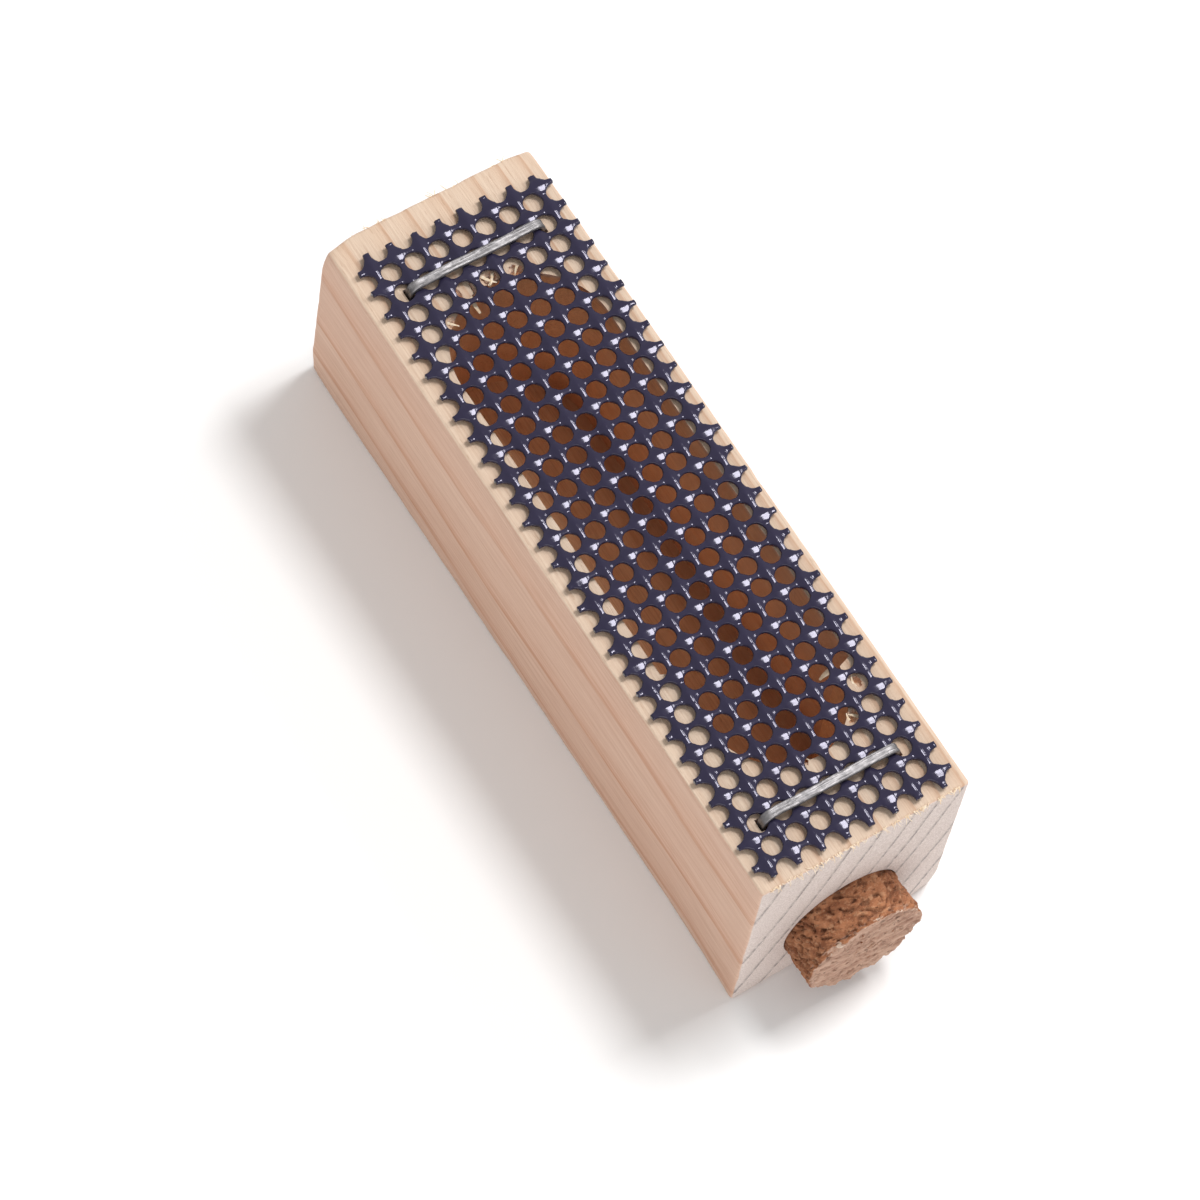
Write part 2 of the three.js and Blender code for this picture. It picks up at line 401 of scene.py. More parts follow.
def chip_cutter():
    """A lump for each chip. It bulges only outwards from its middle, so it never crosses itself."""
    bm = bmesh.new()
    for (x, y), half_sizes, turn in RIM_CHIPS:
        lump = bmesh.ops.create_icosphere(bm, subdivisions=3, radius=MM)["verts"]
        for vertex in lump:
            vertex.co *= 1 + 0.45 * noise.noise(vertex.co / (0.4 * MM) + Vector((x, y, 0)))
        place = Matrix.Translation((x * MM, y * MM, block_high.z + 0.15 * MM))
        place = place @ Matrix.Rotation(turn, 4, "Z") @ Matrix.Diagonal((*half_sizes, 1))
        bmesh.ops.transform(bm, matrix=place, verts=lump)
    return to_mesh("chip_cutter", bm)


def leg_cutter():
    """A slot for each of the staples' four legs, a little larger than the wire."""
    bm = bmesh.new()
    for name in ("staple_near", "staple_far"):
        low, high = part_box(name)
        size = Matrix.Diagonal((
            WIRE_THICKNESS + 2 * LEG_SLOT_ROOM, high.y - low.y + 2 * LEG_SLOT_ROOM, 2 * LEG_DEPTH, 1,
        ))
        for leg_x in (low.x + WIRE_THICKNESS / 2, high.x - WIRE_THICKNESS / 2):
            centre = Matrix.Translation((leg_x, (low.y + high.y) / 2, block_high.z))
            bmesh.ops.create_cube(bm, size=1, matrix=centre @ size)
    return to_mesh("leg_cutter", bm)


def cut_away(mesh, cutters):
    """The mesh with each cutter's space taken out of it."""
    body = new_object("cut_body", mesh)
    for cutter_mesh in cutters:
        cutter = new_object(cutter_mesh.name, cutter_mesh)
        modifier = body.modifiers.new("cut", "BOOLEAN")
        modifier.object = cutter
        modifier.operation = "DIFFERENCE"
        modifier.solver = "EXACT"
    graph = bpy.context.evaluated_depsgraph_get()
    result = bpy.data.meshes.new_from_object(body.evaluated_get(graph))
    for modifier in list(body.modifiers):
        bpy.data.objects.remove(modifier.object)
    bpy.data.objects.remove(body)
    return result


def shade(piece, sharp_angle):
    """Smooth shading, with the edges that turn by more than the angle kept sharp."""
    piece.data.shade_smooth()
    piece.data.set_sharp_from_angle(angle=math.radians(sharp_angle))


block = new_object("pine_block", cut_away(
    block_body(), [slot_cutter(), entrance_cutter(), leg_cutter(), chip_cutter()],
))
shade(block, 32)
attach(block, "cage")
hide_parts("block")

# The stem's middle lay outside the block, up to its left, so the rings cross it aslant. Sizes here
# and in every material are in millimetres.
PITH_X = -159.8
PITH_Z = 82.8
RING_EDGES = [158.6, 163.2, 166.8, 170.7, 175.1, 178.2, 181.2, 185.3, 188.8, 191.9]
RING_START = 153.5
RING_STOP = 193.5


def ring_stops(lead, tail):
    """Ramp stops that climb over lead millimetres to each ring's edge and drop within tail."""
    levels = [(RING_START, 0)]
    before = RING_START
    for edge in RING_EDGES:
        levels += [(max(edge - lead, before + tail), 0), (edge, 1), (edge + tail, 0)]
        before = edge
    return [((radius - RING_START) / (RING_STOP - RING_START), level) for radius, level in levels]


def pine_rings(place):
    """The growth rings: a thin line of late wood at each year's end, and the blush before it."""
    x, y, z = place.axes()
    sweep = place.stretched((0.05, 0.018, 0.05)).grain(1.0, 2.0) - 0.5
    rise_far = (y - 2.0).rise(0.0, 44.0) * 2.0
    across = x - PITH_X
    down = PITH_Z - z + rise_far
    radius = (across * across + down * down) ** 0.5 + sweep * 2.2
    share = (radius - RING_START) / (RING_STOP - RING_START)
    late = share.node("ShaderNodeValToRGB", {"stops": ring_stops(0.55, 0.12)}, {0: share})
    blush = share.node("ShaderNodeValToRGB", {"stops": ring_stops(3.4, 0.16)}, {0: share}) ** 2.2
    return late, blush


def milled_away(place):
    """1 on the chamber's and the entrance's walls, and 0 on the block's outside."""
    x, y, z = place.axes()
    half_width = CHAMBER_WIDTH / 2 / MM
    near_end, far_end = block_low.y / MM, (block_high.y - FAR_END_WALL) / MM
    bottom, top = block_low.z / MM, block_high.z / MM
    inside_x = abs(x - CHAMBER_SIDE_SHIFT / MM).rise(half_width + 0.35, half_width - 0.2)
    inside_y = y.rise(near_end + 0.4, near_end + 1.2) * y.rise(far_end + 0.5, far_end - 0.2)
    inside_z = z.rise(bottom + 1.0, bottom + 2.0) * z.rise(top - 0.15, top - 1.0)
    return inside_x * inside_y * inside_z


def pine_material():
    material, shader, place = new_material("pine", IOR=1.45)
    late, blush = pine_rings(place)
    fibre = place.stretched((3.2, 0.09, 3.2)).grain(1.0, 4.0, 0.65)
    streak = place.stretched((7.0, 0.22, 7.0)).grain(1.0, 2.0, 0.6)
    cloud = place.stretched((0.12, 0.05, 0.12)).grain(1.0, 2.0)
    fleck = place.stretched((4.5, 0.5, 4.5)).grain(1.0, 1.0).rise(0.66, 0.74)
    pores = place.stretched((5.5, 5.5, 5.5)).grain(1.0, 2.0, 0.7)
    normal = place.node("ShaderNodeNewGeometry", {}, {}, output="Normal")
    end_grain = abs(normal.axes()[1]).rise(0.6, 0.9)
    top_face = normal.axes()[2].rise(0.6, 0.9)

    # The long faces, whose pinker cast is painted warm light bounced onto the sides.
    early = cloud.mix((0.70, 0.475, 0.355, 1), (0.66, 0.42, 0.31, 1))
    toned = (blush * 0.42).mix(early, (0.66, 0.34, 0.21, 1))
    toned = (late * (1 - end_grain) * 0.5).mix(toned, (0.48, 0.20, 0.10, 1))
    toned = (fibre.rise(0.44, 0.66) * 0.34).mix(toned, (0.84, 0.62, 0.49, 1))
    toned = (fibre.rise(0.5, 0.34) * 0.22).mix(toned, (0.50, 0.27, 0.17, 1))
    toned = (fleck * 0.14).mix(toned, (0.45, 0.24, 0.15, 1))

    # The top, more streaked, and paler and yellower partly as painted light from above.
    top_tone = (streak.rise(0.35, 0.75) * 0.75).mix((0.66, 0.52, 0.40, 1), (0.56, 0.41, 0.295, 1))
    top_tone = (fibre.rise(0.42, 0.7) * 0.4).mix(top_tone, (0.82, 0.68, 0.53, 1))
    top_tone = (fibre.rise(0.46, 0.3) * 0.35).mix(top_tone, (0.52, 0.35, 0.235, 1))
    top_tone = (blush * 0.34).mix(top_tone, (0.58, 0.35, 0.21, 1))
    top_tone = (late * 0.4).mix(top_tone, (0.42, 0.22, 0.12, 1))
    top_tone = (fleck * 0.35).mix(top_tone, (0.40, 0.24, 0.14, 1))
    # The top's tone against the long faces' is partly the wood's own and partly painted light.
    toned = (top_face * 0.85).mix(toned, top_tone)

    # The end grain, greyish, with the late wood as broken lines.
    broken = place.stretched((1.2, 1.2, 1.2)).grain(1.0, 3.0, 0.7).rise(0.35, 0.6)
    end_tone = pores.rise(0.3, 0.72).mix((0.60, 0.50, 0.455, 1), (0.80, 0.70, 0.655, 1))
    end_tone = (late * (0.15 + broken * 0.75)).mix(end_tone, (0.16, 0.13, 0.125, 1))
    end_tone = (blush * 0.10).mix(end_tone, (0.45, 0.36, 0.31, 1))
    inside = milled_away(place)
    toned = (end_grain * (1 - inside)).mix(toned, end_tone)

    # The milled wood inside gets a warmer, more orange copy of the pine, which is painted bounce light
    # over the wood's own streaks and clouds, and painted shade low on the right where little light gets
    # in.
    chamber_tone_with_painted_light = fibre.mix((0.90, 0.51, 0.28, 1), (0.95, 0.60, 0.35, 1))
    chamber_tone_with_painted_light = (streak.rise(0.42, 0.66) * 0.5).mix(chamber_tone_with_painted_light, (0.62, 0.31, 0.15, 1))
    chamber_tone_with_painted_light = (cloud.rise(0.45, 0.62) * 0.3).mix(chamber_tone_with_painted_light, (0.66, 0.33, 0.16, 1))
    x, _, z = place.axes()
    # Painted shade: darker low on the right of the chamber, where little light gets in.
    corner = z.rise(9.0, 2.5) * x.rise(5.0, 9.5)
    chamber_tone_with_painted_light = (corner * 0.75).mix(chamber_tone_with_painted_light, (0.42, 0.19, 0.09, 1))
    toned = (inside * 0.9).mix(toned, chamber_tone_with_painted_light)

    feed(shader, "Base Color", toned)
    feed(shader, "Roughness", 0.62 + fibre * 0.2)
    fuzz = place.stretched((9.0, 1.6, 9.0)).grain(1.0, 3.0, 0.7)
    height = fibre * 0.5 + fuzz * 0.35 + late * 0.25 + pores * end_grain * 0.6
    feed_bump(shader, height, 0.12)
    return material


pine = pine_material()
block.data.materials.clear()
block.data.materials.append(pine)


# --- Torn fibres --------------------------------------------------------------------------------
# Slivers that the saw and the slot cutter left standing at the rims: a few broad ones over the
# chamber's ends, and a fuzz of fine ones along the sawn edges. They are still part of the wood.
FIBRE_THICKNESS = 0.09 * MM
FIBRE_STEPS = 7
# Each broad sliver: its root on the top, heading in degrees, length, width, swing and lift.
BROAD_FIBRES = [
    ((0.0, 34.7), -65, 2.1, 0.42, 0.3, 0.25),
    ((1.5, 34.6), -118, 2.0, 0.38, -0.3, 0.3),
    ((0.2, 33.1), 35, 1.6, 0.3, 0.4, 0.15),
    ((-2.5, 34.6), -92, 3.9, 0.85, 0.1, -0.3),
    ((-6.9, 31.6), -38, 1.9, 0.4, -0.3, 0.2),
    ((4.6, 33.9), -150, 1.3, 0.35, 0.5, -0.2),
    ((9.0, -29.1), 75, 2.3, 0.3, -2.6, 0.35),
    ((9.3, -30.6), 115, 2.2, 0.28, -1.4, 0.2),
    ((7.4, -33.6), 125, 1.2, 0.4, 0.5, 0.1),
    ((6.3, -33.5), 95, 0.9, 0.3, -0.4, 0.2),
    ((-0.2, -35.6), 110, 0.9, 0.2, 0.3, 0.1),
]
LEDGE_ROOT = (9.1, -26.5, -2.6)
FUZZ_COUNT = 130
FUZZ_SETBACK = 0.25 * MM


def add_fibre(bm, root, heading, length, width, swing, lift):
    """A tapering sliver from its root, swung round by an angle and lifted at its tip."""
    sliver = box_between(
        Vector((0, -width / 2, -FIBRE_THICKNESS / 2)), Vector((length, width / 2, FIBRE_THICKNESS / 2))
    )
    slice_along(sliver, 0, 0, length, length / FIBRE_STEPS)
    curve = length / swing
    for vertex in sliver.verts:
        share = vertex.co.x / length
        side = vertex.co.y * (1 - 0.7 * share ** 1.5)
        angle = swing * share
        vertex.co = Vector((
            curve * math.sin(angle) - side * math.sin(angle),
            curve * (1 - math.cos(angle)) + side * math.cos(angle),
            vertex.co.z * (1 - 0.6 * share) + lift * share ** 2,
        ))
    bmesh.ops.rotate(sliver, matrix=Matrix.Rotation(heading, 3, "Z"), verts=sliver.verts[:])
    bmesh.ops.translate(sliver, vec=root, verts=sliver.verts[:])
    bm.from_mesh(to_mesh("sliver", sliver))


def build_fibres():
    """The broad slivers, one on the ledge inside the chamber, and the fuzz at both ends."""
    chance = random.Random(23)
    bm = bmesh.new()
    for (x, y), heading, length, width, swing, lift in BROAD_FIBRES:
        root = Vector((x * MM, y * MM, block_high.z - 0.06 * MM))
        add_fibre(bm, root, math.radians(heading), length * MM, width * MM, swing, lift * MM)
    ledge = Vector(LEDGE_ROOT) * MM + Vector((0, 0, block_high.z))
    add_fibre(bm, ledge, math.radians(172), 2.0 * MM, 0.8 * MM, 0.5, -0.3 * MM)
    for index in range(FUZZ_COUNT):
        near = index % 6 != 0
        y = block_low.y + FUZZ_SETBACK if near else block_high.y - FUZZ_SETBACK
        x = chance.uniform(block_low.x + MM, block_high.x - MM)
        root = Vector((x, y, block_high.z - 0.03 * MM))
        heading = math.radians(chance.gauss(-90 if near else 90, 40))
        length = chance.uniform(0.35, 1.0) * MM
        width = chance.uniform(0.05, 0.13) * MM
        swing = chance.choice((-1, 1)) * chance.uniform(0.2, 1.6)
        add_fibre(bm, root, heading, length, width, swing, chance.uniform(-0.25, 0.15) * MM)
    return to_mesh("torn_fibres", bm)


def fibre_material():
    material, shader, place = new_material("torn_wood", IOR=1.45)
    tone = place.stretched((2.5, 2.5, 2.5)).grain(1.0, 2.0).rise(0.3, 0.7)
    tone = tone.mix((0.74, 0.55, 0.36, 1), (0.88, 0.76, 0.60, 1))
    feed(shader, "Base Color", tone)
    feed(shader, "Roughness", 0.7 + place.grain(3.0) * 0.2)
    return material


fibres = new_object("torn_fibres", build_fibres())
fibres.data.materials.append(fibre_material())
shade(fibres, 50)
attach(fibres, "cage")


# --- Screen -------------------------------------------------------------------------------------
# Plain-woven wire cloth, dipped in dark plastic that has run together at the crossings, so that
# each mesh is a round hole. It was cut with snips about half a mesh outside its last wires, and
# lies on the block under the staples.
screen_low, screen_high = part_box("screen")
HOLES_ACROSS = 7
HOLES_ALONG = 28
PITCH_ACROSS = 3.175 * MM
PITCH_ALONG = 3.034 * MM
SCREEN_TURN = -0.0105
SCREEN_CENTRE = Vector((0.15 * MM, -1.3 * MM, (screen_low.z + screen_high.z) / 2))
HOLE_RADIUS = 1.17 * MM
HOLE_DRIFT = 0.04 * MM
LIP_SETBACK = 0.07 * MM
# A strand's section is nearly flat on top, then falls straight away into the web past STRAND_EDGE.
STRAND_RADIUS = 0.45 * MM
STRAND_HEIGHT = 0.275 * MM
STRAND_SQUARENESS = 3.4
STRAND_EDGE = 0.9
STRAND_FALL = 2.0
WEAVE_RISE = 0.17 * MM
# The plastic that fills each crossing is a low tent, whose slopes depend on which wire is on top.
WEB_HEIGHT = 0.51 * MM
WEB_REACH = 0.8 * MM
WEB_FALL = 0.5
WEB_SAG = 0.07 * MM
OVER_SLOPES = (0.06, 0.15)
UNDER_SLOPES = (0.36, 0.04)
FILLET = 0.04 * MM
# The grid's steps over one mesh, and how far from a mesh's middle the grid is cut out of it.
STEPS_PER_MESH = 16
HOLE_SHARE = 5 / 16
STUB_LENGTH = 1.85 * MM
STUB_DRAW = 0.35 * MM
STUB_BEND = 0.3 * MM
STUB_LIFT = 0.2 * MM
CORE_RADIUS = 0.2 * MM
CORE_LENGTH = 0.5 * MM
# Across the block, then along it: how far apart the wires are, and how many there are.
WIRES = [(PITCH_ACROSS, HOLES_ACROSS + 1), (PITCH_ALONG, HOLES_ALONG + 1)]


def hole_place(point):
    """The nearest hole's column and row, and where the point is in its square, -0.5 to 0.5."""
    column = point.x / PITCH_ACROSS + (HOLES_ACROSS - 1) / 2
    row = point.y / PITCH_ALONG + (HOLES_ALONG - 1) / 2
    return round(column), round(row), column - round(column), row - round(row)


def rounded_place(point, radius):
    """A grid point moved so that its hole's square edge becomes a circle, and strands stay put."""
    column, row, u, v = hole_place(point)
    reach = max(abs(u), abs(v))
    if reach < 1e-6:
        return point
    angle = math.pi / 4 * (v / abs(u) if abs(u) >= abs(v) else 2 * math.copysign(1, v) - u / v)
    if abs(u) >= abs(v) and u < 0:
        angle = math.pi - angle
    wobble = 1 + 0.03 * noise.noise(Vector((column, row, 1.5 * angle)))
    centre = point - Vector((u * PITCH_ACROSS, v * PITCH_ALONG, 0))
    drift = noise.noise_vector(Vector((column, row, 7.5))) * HOLE_DRIFT
    circle = centre + Vector((math.cos(angle), math.sin(angle), 0)) * radius * wobble
    circle += Vector((drift.x, drift.y, 0))
    square = centre + Vector((u / reach * PITCH_ACROSS, v / reach * PITCH_ALONG, 0)) / 2
    return circle.lerp(square, max(0, (reach - HOLE_SHARE) / (0.5 - HOLE_SHARE)) ** 1.5)


def smooth_max(first, second):
    """The higher of two heights, with a fillet where they meet."""
    blend = max(0, 1 - abs(first - second) / (2 * FILLET))
    return max(first, second) + blend * blend * FILLET / 2


def strand_section(off):
    """A strand's half height at a distance from its middle line."""
    share = off / STRAND_RADIUS
    height = (1 - min(share, STRAND_EDGE) ** STRAND_SQUARENESS) ** 0.5
    return STRAND_HEIGHT * (height - STRAND_FALL * max(0, share - STRAND_EDGE))


def coat_height(point, side):
    """How far the coat stands from the cloth's middle plane, on its upper or its lower side."""
    column = point.x / PITCH_ACROSS + HOLES_ACROSS / 2
    row = point.y / PITCH_ALONG + HOLES_ALONG / 2
    past_column = column - round(column)
    past_row = row - round(row)
    past_lengthwise = past_column * PITCH_ACROSS
    past_crosswise = past_row * PITCH_ALONG
    lengthwise_on_top = (round(column) + round(row)) % 2 == 0
    weave = side * (WEAVE_RISE if lengthwise_on_top else -WEAVE_RISE)
    lengthwise = weave * math.cos(math.pi * past_row)
    crosswise = -weave * math.cos(math.pi * past_column)
    lengthwise += strand_section(abs(past_lengthwise))
    crosswise += strand_section(abs(past_crosswise))
    slopes = UNDER_SLOPES if weave > 0 else OVER_SLOPES
    off_ridge = abs(past_lengthwise + WEB_SAG), abs(past_crosswise - WEB_SAG)
    web = WEB_HEIGHT - slopes[0] * off_ridge[0] - slopes[1] * off_ridge[1]
    web -= WEB_FALL * max(0, max(abs(past_lengthwise), abs(past_crosswise)) - WEB_REACH)
    return smooth_max(smooth_max(lengthwise, crosswise), web)


def stub_shift(point):
    """How far a point on a stub is drawn out, bent and pinched, most of all at the stub's end."""
    shift = Vector((0, 0, 0))
    for axis, (pitch, wires) in enumerate(WIRES):
        half = (wires - 1) / 2 * pitch
        out = abs(point[axis]) - half
        if out <= 0:
            continue
        share = (out / (pitch / 2)) ** 1.5
        sign = math.copysign(1, point[axis])
        other = 1 - axis
        other_pitch, other_wires = WIRES[other]
        place = point[other] / other_pitch + (other_wires - 1) / 2
        index = round(place)
        if abs(place - index) > 0.3:
            continue
        seed = Vector((index * 1.7 + 0.3, sign * 5.1, axis * 9.3))
        draw = noise.noise(seed) * STUB_DRAW
        bend = noise.noise(seed + Vector((0, 0, 31))) * STUB_BEND
        lift = noise.noise(seed + Vector((0, 0, 62))) * STUB_LIFT
        pinch = 1.05 + 0.2 * noise.noise(seed + Vector((0, 0, 93)))
        shift[axis] += sign * share * (STUB_LENGTH - pitch / 2 + draw)
        shift[other] += share * (bend - (place - index) * other_pitch * (1 - pinch))
        shift.z += share * lift
    return shift


def build_screen():
    """A grid with its meshes taken out, made two-sided, then shaped into the fused weave."""
    half_across = (HOLES_ACROSS + 1) / 2 * PITCH_ACROSS
    half_along = (HOLES_ALONG + 1) / 2 * PITCH_ALONG
    bm = bmesh.new()
    bmesh.ops.create_grid(
        bm, size=1, x_segments=(HOLES_ACROSS + 1) * STEPS_PER_MESH,
        y_segments=(HOLES_ALONG + 1) * STEPS_PER_MESH,
        matrix=Matrix.Diagonal((half_across, half_along, 1, 1)),
    )
    holes = []
    for face in bm.faces:
        u, v = hole_place(face.calc_center_median())[2:]
        if max(abs(u), abs(v)) < HOLE_SHARE:
            holes.append(face)
    bmesh.ops.delete(bm, geom=holes, context="FACES")
    grown = bmesh.ops.extrude_face_region(bm, geom=bm.faces[:])["geom"]
    upper = [g for g in grown if isinstance(g, bmesh.types.BMVert)]
    bmesh.ops.translate(bm, vec=(0, 0, 1), verts=upper)
    walls = [e for e in bm.edges if abs(e.verts[0].co.z - e.verts[1].co.z) > 0.5]
    bmesh.ops.subdivide_edges(bm, edges=walls, cuts=1)
    for vertex in bm.verts:
        layer = round(vertex.co.z * 2) - 1
        flat = Vector((vertex.co.x, vertex.co.y, 0))
        shift = stub_shift(flat)
        setback = LIP_SETBACK if layer else 0
        placed = rounded_place(flat, HOLE_RADIUS + setback)
        placed.z = layer * coat_height(placed, layer)
        vertex.co = placed + shift
    bmesh.ops.rotate(bm, matrix=Matrix.Rotation(SCREEN_TURN, 3, "Z"), verts=bm.verts[:])
    bmesh.ops.translate(bm, vec=SCREEN_CENTRE, verts=bm.verts[:])
    return to_mesh("screen", bm)


def build_wire_ends():
    """The bright cut ends of the wires, which show in the ends of the stubs."""
    chance = random.Random(11)
    bm = bmesh.new()
    for axis, (pitch, wires) in enumerate(WIRES):
        other = 1 - axis
        other_pitch, other_wires = WIRES[other]
        for index in range(other_wires):
            for sign in (-1, 1):
                tip = Vector((0, 0, 0))
                tip[axis] = sign * wires / 2 * pitch
                tip[other] = (index - (other_wires - 1) / 2) * other_pitch
                tip += stub_shift(tip)
                heading = Vector((0, 0, 0))
                heading[axis] = sign
                turn = heading.to_track_quat("Z", "X").to_matrix().to_4x4()
                proud = chance.uniform(-0.02, 0.16) * MM
                middle = tip + heading * (proud - CORE_LENGTH / 2)
                bmesh.ops.create_cone(
                    bm, cap_ends=True, segments=10, radius1=CORE_RADIUS, radius2=CORE_RADIUS * 0.8,
                    depth=CORE_LENGTH, matrix=Matrix.Translation(middle) @ turn,
                )
    bmesh.ops.rotate(bm, matrix=Matrix.Rotation(SCREEN_TURN, 3, "Z"), verts=bm.verts[:])
    bmesh.ops.translate(bm, vec=SCREEN_CENTRE, verts=bm.verts[:])
    return to_mesh("wire_ends", bm)


screen = new_object("coated_screen", build_screen())
shade(screen, 180)
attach(screen, "cage")
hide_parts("screen")


def coat_material():
    material, shader, place = new_material("coated_cloth", IOR=1.43, Specular_Tint=(0.88, 0.85, 1, 1))
    cloud = place.stretched((0.4, 0.4, 0.4)).grain(1.0, 3.0)
    dust = place.stretched((3.0, 3.0, 3.0)).grain(1.0, 3.0, 0.7).rise(0.62, 0.8)
    tone = cloud.mix((0.018, 0.015, 0.036, 1), (0.032, 0.028, 0.058, 1))
    tone = (dust * 0.2).mix(tone, (0.07, 0.06, 0.09, 1))
    feed(shader, "Base Color", tone)
    feed(shader, "Roughness", 0.09 + cloud * 0.07 + dust * 0.1)
    ripple = place.stretched((1.1, 1.1, 1.1)).grain(1.0, 2.0)
    feed_bump(shader, ripple, 0.007)
    return material


screen.data.materials.append(coat_material())
wire_ends = new_object("screen_wire_ends", build_wire_ends())
shade(wire_ends, 40)
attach(wire_ends, "cage")


def wire_material():
    material, shader, place = new_material("bright_wire", IOR=1.6)
    scuff = place.stretched((0.7, 7.0, 3.0)).grain(1.0, 3.0, 0.65)
    spangle = place.stretched((1.6, 1.6, 1.6)).grain(1.0, 2.0)
    groove = place.stretched((0.25, 9.0, 0.5)).grain(1.0, 1.0).rise(0.55, 0.7)
    tone = spangle.rise(0.35, 0.65).mix((0.23, 0.22, 0.225, 1), (0.36, 0.345, 0.35, 1))
    tone = (groove * 0.4).mix(tone, (0.10, 0.095, 0.10, 1))
    feed(shader, "Base Color", tone)
    feed(shader, "Metallic", 0.75 + spangle * 0.2)
    feed(shader, "Roughness", 0.32 + scuff * 0.3)
    feed_bump(shader, scuff + groove * 0.5, 0.05)
    return material


bright_wire = wire_material()
wire_ends.data.materials.append(bright_wire)


# --- Staples ------------------------------------------------------------------------------------
# Two wide-crown staples of flat galvanised wire with a shallow groove. Each crown lies across the
# second row of meshes from its end and bows a little, and its legs go down through the outermost
# meshes into the wood.
WIRE_WIDTH = 1.15 * MM
WIRE_EDGE = 0.17 * MM
WIRE_STEP = 0.3 * MM
GROOVE_WIDTH = 0.6 * MM
GROOVE_DEPTH = 0.05 * MM
BEND_RADIUS = 0.9 * MM
POINT_LENGTH = 1.2 * MM
WAVE_HEIGHT = 0.12 * MM
SWAY = 0.18 * MM


def build_staple(name, bow, seed):
    """A straight length of wire with pointed ends, bent over at both corners of the staple's box."""
    low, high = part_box(name)
    middle = (low + high) / 2
    outer_half = (high.x - low.x) / 2
    line_half = outer_half - WIRE_THICKNESS / 2
    bend_line = BEND_RADIUS + WIRE_THICKNESS / 2
    flat_half = line_half - bend_line
    arc = bend_line * math.pi / 2
    leg = high.z - low.z - WIRE_THICKNESS / 2 - bend_line
    half_length = flat_half + arc + leg
    bm = box_between(
        Vector((-half_length, -WIRE_WIDTH / 2, -WIRE_THICKNESS / 2)),
        Vector((half_length, WIRE_WIDTH / 2, WIRE_THICKNESS / 2)),
    )
    bmesh.ops.bevel(
        bm, geom=[e for e in bm.edges if abs((e.verts[0].co - e.verts[1].co).x) > WIRE_WIDTH],
        offset=WIRE_EDGE, offset_type="OFFSET", affect="EDGES", segments=3, profile=0.5, material=-1,
    )
    slice_along(bm, 0, -half_length, half_length, WIRE_STEP)
    slice_along(bm, 1, -GROOVE_WIDTH / 2, GROOVE_WIDTH / 2, GROOVE_WIDTH / 4)
    crown_z = high.z - WIRE_THICKNESS / 2
    for vertex in bm.verts:
        along, across, up = vertex.co
        side = math.copysign(1, along)
        run = abs(along)
        to_point = (half_length - run) / POINT_LENGTH
        if to_point < 1:
            up = up * (0.25 + 0.75 * to_point) - (1 - to_point) * WIRE_THICKNESS * 0.3
            across *= 0.5 + 0.5 * to_point
        if up > 0.2 * MM:
            up -= GROOVE_DEPTH * max(0, 1 - abs(across) / (GROOVE_WIDTH / 2))
        if run <= flat_half:
            x = along
            z = crown_z + up
        elif run <= flat_half + arc:
            angle = (run - flat_half) / bend_line
            x = side * (flat_half + (bend_line + up) * math.sin(angle))
            z = crown_z - bend_line + (bend_line + up) * math.cos(angle)
        else:
            x = side * (flat_half + bend_line + up)
            z = crown_z - bend_line - (run - flat_half - arc)
        hold = max(0, 1 - (abs(x) / line_half) ** 2)
        wave = noise.noise(Vector((x / (3.5 * MM), seed, 0)))
        z += bow * hold + WAVE_HEIGHT * wave * min(1, 2 * hold)
        sway = noise.noise(Vector((x / (5 * MM), seed, 9)))
        y = across + SWAY * sway * min(1, 2 * hold)
        vertex.co = Vector((middle.x + x, middle.y + y, z))
    return to_mesh(name, bm)


for staple_name, staple_bow, staple_seed in (
    ("staple_near", -0.08 * MM, 2.0), ("staple_far", -0.12 * MM, 5.0),
):
    staple = new_object(staple_name + "_wire", build_staple(staple_name, staple_bow, staple_seed))
    staple.data.materials.append(bright_wire)
    shade(staple, 40)
    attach(staple, "cage")
    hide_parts(staple_name)


# --- Cork ---------------------------------------------------------------------------------------
# A tapered plug punched out of natural cork bark and pushed into the entrance by hand. The bark's
# layers lie aslant in it, with cracks and pits between them, darkened partly as the cork's own colour
# and partly with painted shade, and its outer rim is chipped.
CORK_OUTER_RADIUS = 7.7 * MM
CORK_INNER_RADIUS = 7.25 * MM
CORK_STEP = 0.155 * MM
CORK_SIDES = 290
CORK_ROUND = 0.35 * MM
CORK_ROUND_CUT = 0.1 * MM
LAYER_TILT = 0.64
RIM_BAND = 0.9
# The part in the entrance is squeezed smooth, from this far in, over the next stretch.
SQUEEZE_START = 5.3
SQUEEZE_RUN = 0.8


def clamp(value):
    return min(1, max(0, value))


def bark(x, y, z, offset=0):
    """Smooth noise from -1 to 1 at a place whose axes are already scaled."""
    return noise.noise(Vector((x + offset, y, z)))


